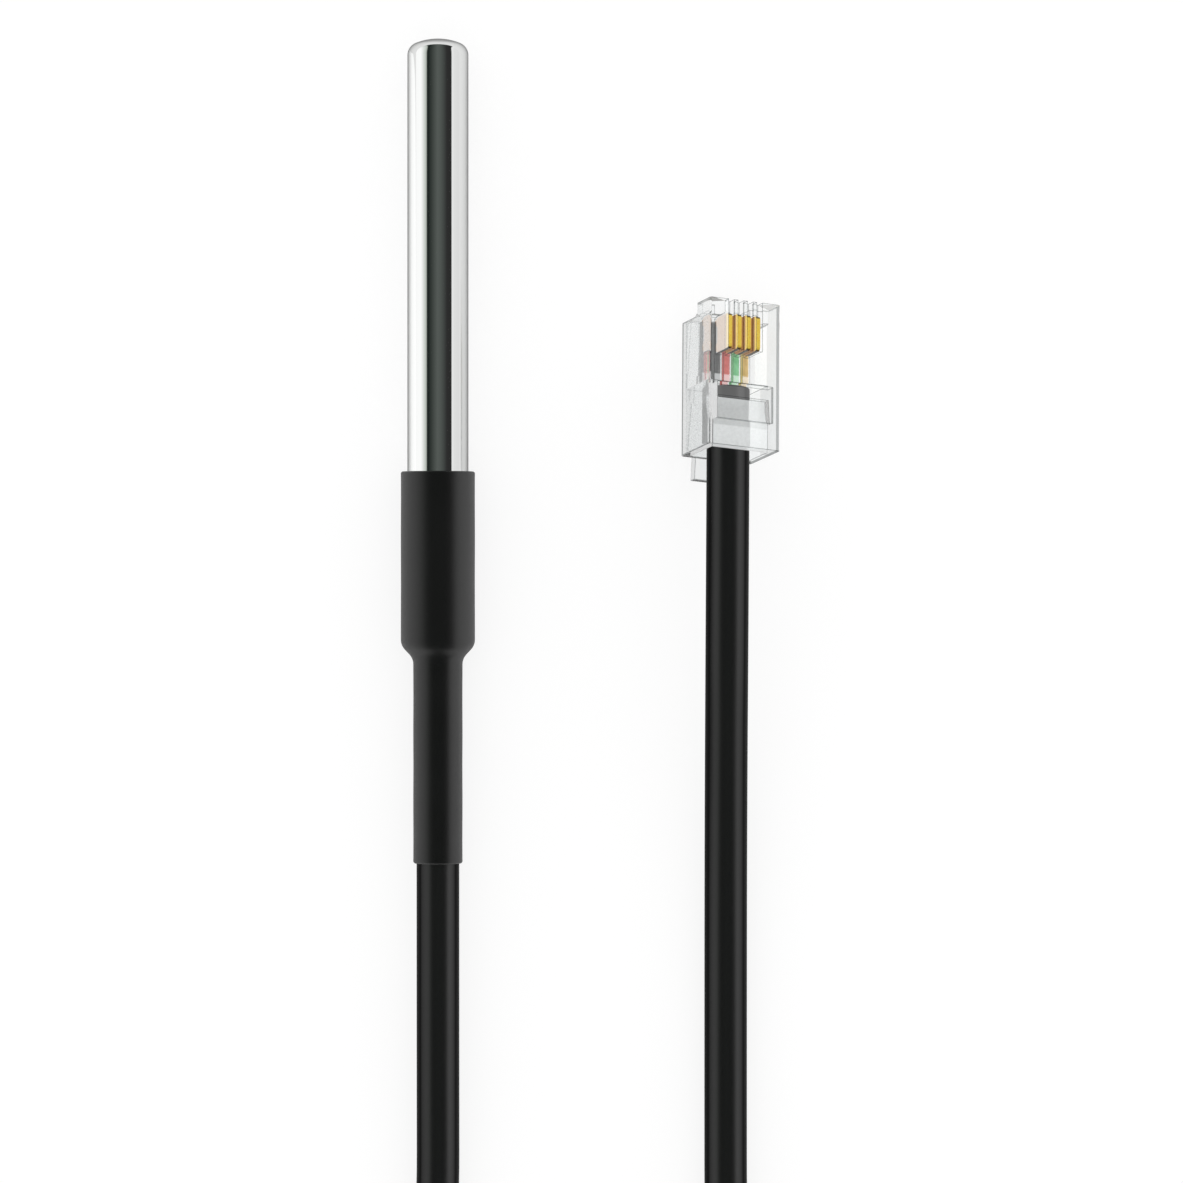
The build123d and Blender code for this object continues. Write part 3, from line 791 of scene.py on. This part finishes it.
def makeFloor(settings):
    half = settings["floorSize"] / 2
    mesh = bpy.data.meshes.new("floor")
    mesh.from_pydata([(-half, -half, 0), (half, -half, 0), (half, half, 0), (-half, half, 0)], [], [(0, 1, 2, 3)])
    material, tree, output, place = newMaterial("whitePaperFloor")
    path = addNode(tree, "ShaderNodeLightPath")
    seenWhite = addNode(tree, "ShaderNodeMath", {"operation": "MULTIPLY", 1: settings["floorWhiteSeen"]},
                        {0: path.outputs["Is Camera Ray"]})
    spot = addNode(tree, "ShaderNodeSeparateXYZ", None, {"Vector": place})
    # painted shade seen through clear pieces: darker away from the field's centre
    away = addNode(tree, "ShaderNodeVectorMath", {"operation": "DISTANCE", 1: (*settings["fieldCentre"], 0.0)},
                   {0: place})
    field = addNode(tree, "ShaderNodeMapRange",
                    {"From Min": settings["whiteField"], "From Max": settings["darkField"],
                     "To Min": 1.0, "To Max": settings["darkFieldLevel"]}, {"Value": away.outputs["Value"]})
    through = addNode(tree, "ShaderNodeMath", {"operation": "MULTIPLY"},
                      {0: path.outputs["Is Transmission Ray"], 1: field.outputs["Result"]})
    white = addNode(tree, "ShaderNodeMath", {"operation": "MULTIPLY_ADD", 1: settings["floorWhiteThrough"]},
                    {0: through.outputs["Value"], 2: seenWhite.outputs["Value"]})
    throughTone = addNode(tree, "ShaderNodeMath", {"operation": "MULTIPLY", 1: settings["floorLitThrough"]},
                          {0: field.outputs["Result"]})
    # painted reflection: the floor's tone for mirrored rays changes with X and beyond the tip
    turnStart, turnEnd = settings["mirroredTurn"]
    right = addNode(tree, "ShaderNodeMapRange", {"From Min": turnStart, "From Max": turnEnd},
                    {"Value": spot.outputs["X"]})
    beyondTip = addNode(tree, "ShaderNodeMapRange", {"From Min": tipY, "From Max": tipY + settings["tipTurn"]},
                        {"Value": spot.outputs["Y"]})
    shaded = addNode(tree, "ShaderNodeMath", {"operation": "MAXIMUM"},
                     {0: right.outputs["Result"], 1: beyondTip.outputs["Result"]})
    paintedReflectionTone = addNode(tree, "ShaderNodeMapRange",
                       {"To Min": settings["floorMirroredLeft"], "To Max": settings["floorMirroredRight"]},
                       {"Value": shaded.outputs["Value"]})
    lit = addNode(tree, "ShaderNodeMixRGB", {"Color1": grey(settings["floorLit"]),
                                             "Color2": grey(settings["floorLitSeen"])},
                  {"Fac": path.outputs["Is Camera Ray"]})
    lit = addNode(tree, "ShaderNodeMixRGB", None,
                  {"Fac": path.outputs["Is Transmission Ray"], "Color1": lit.outputs["Color"],
                   "Color2": throughTone.outputs["Value"]})
    lit = addNode(tree, "ShaderNodeMixRGB", None,
                  {"Fac": mirroredOnly(tree, 0.0), "Color1": lit.outputs["Color"],
                   "Color2": paintedReflectionTone.outputs["Result"]})
    diffuse = addNode(tree, "ShaderNodeBsdfDiffuse", None, {"Color": lit.outputs["Color"]})
    glow = addNode(tree, "ShaderNodeEmission", None, {"Strength": white.outputs["Value"]})
    both = addNode(tree, "ShaderNodeAddShader", None, {0: diffuse.outputs["BSDF"], 1: glow.outputs["Emission"]})
    tree.links.new(both.outputs["Shader"], output.inputs["Surface"])
    mesh.materials.append(material)
    addPiece("floor", mesh)


def makeTent(settings):
    world = bpy.data.worlds.new("studioTent")
    world.use_nodes = True
    world.cycles.sampling_method = "NONE"
    tree = world.node_tree
    tree.nodes.clear()
    direction = addNode(tree, "ShaderNodeTexCoord").outputs["Generated"]
    parts = addNode(tree, "ShaderNodeSeparateXYZ", None, {"Vector": direction})
    # the dark strip runs on to the horizon at the tip's end, nearly as wide as it is overhead
    alongSquared = addNode(tree, "ShaderNodeMath", {"operation": "MULTIPLY"},
                           {0: parts.outputs["Y"], 1: parts.outputs["Y"]})
    upSquared = addNode(tree, "ShaderNodeMath", {"operation": "MULTIPLY"},
                        {0: parts.outputs["Z"], 1: parts.outputs["Z"]})
    heightSquared = addNode(tree, "ShaderNodeMath", {"operation": "MULTIPLY_ADD", 1: settings["stripReach"]},
                            {0: alongSquared.outputs["Value"], 2: upSquared.outputs["Value"]})
    height = addNode(tree, "ShaderNodeMath", {"operation": "SQRT"}, {0: heightSquared.outputs["Value"]})
    angle = addNode(tree, "ShaderNodeMath", {"operation": "ARCTAN2"},
                    {0: parts.outputs["X"], 1: height.outputs["Value"]})
    turn = addNode(tree, "ShaderNodeMapRange", {"From Min": -pi, "From Max": pi}, {"Value": angle.outputs["Value"]})
    ramp = addNode(tree, "ShaderNodeValToRGB", None, {"Fac": turn.outputs["Result"]})
    fillRamp(ramp, [((degreesUp + 180) / 360, code) for degreesUp, code in settings["tent"]])
    colour = addNode(tree, "ShaderNodeMixRGB", {"Color1": (1.0, 1.0, 1.0, 1.0)},
                     {"Fac": mirroredOnly(tree, settings["tentThrough"]), "Color2": ramp.outputs["Color"]})
    background = addNode(tree, "ShaderNodeBackground", {"Strength": settings["tentLight"]},
                         {"Color": colour.outputs["Color"]})
    output = addNode(tree, "ShaderNodeOutputWorld")
    tree.links.new(background.outputs["Background"], output.inputs["Surface"])
    bpy.context.scene.world = world


makeCamera(studioSettings)
makeFloor(studioSettings)
makeTent(studioSettings)
bpy.context.scene.view_settings.view_transform = "Standard"
print("studio set")
